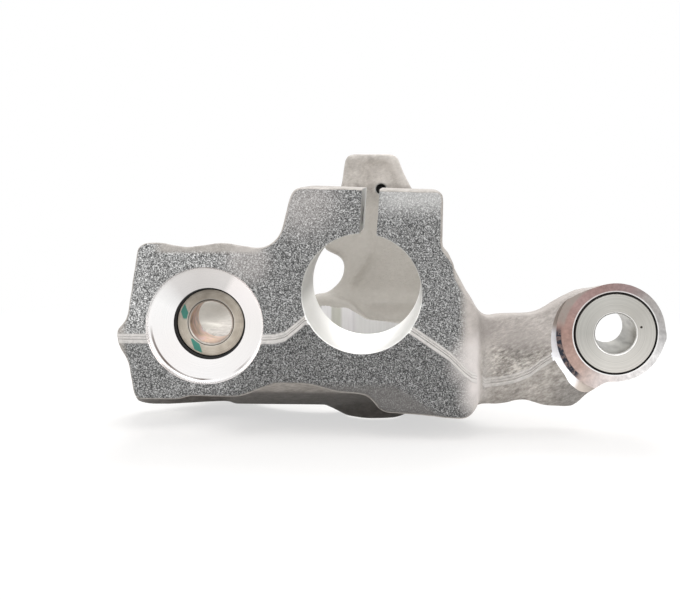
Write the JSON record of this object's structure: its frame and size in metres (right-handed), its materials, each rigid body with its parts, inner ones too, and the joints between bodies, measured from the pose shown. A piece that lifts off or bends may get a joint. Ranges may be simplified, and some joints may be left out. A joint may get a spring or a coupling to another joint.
{
  "type": "steering knuckle",
  "caption": "Forged steering knuckle with strut clamp, joint lobe, steering arm, hub ring, caliper lugs and lower leg.",
  "frame": {"origin": "on the wheel axis at the outboard hub face, where the knuckle rests", "axes": "+Z along the wheel axis, inboard; +Y down the strut axis; +X along the steering arm"},
  "size_m": [0.2509, 0.2008, 0.1293],
  "materials": {
    "forged_aluminium": "satin",
    "zinc_steel": "satin",
    "insert_steel": "satin"
  },
  "bodies": {
    "root": {"knuckle_forging": "forged_aluminium", "joint_insert": "zinc_steel", "taper_insert": "insert_steel"}
  },
  "joints": []
}
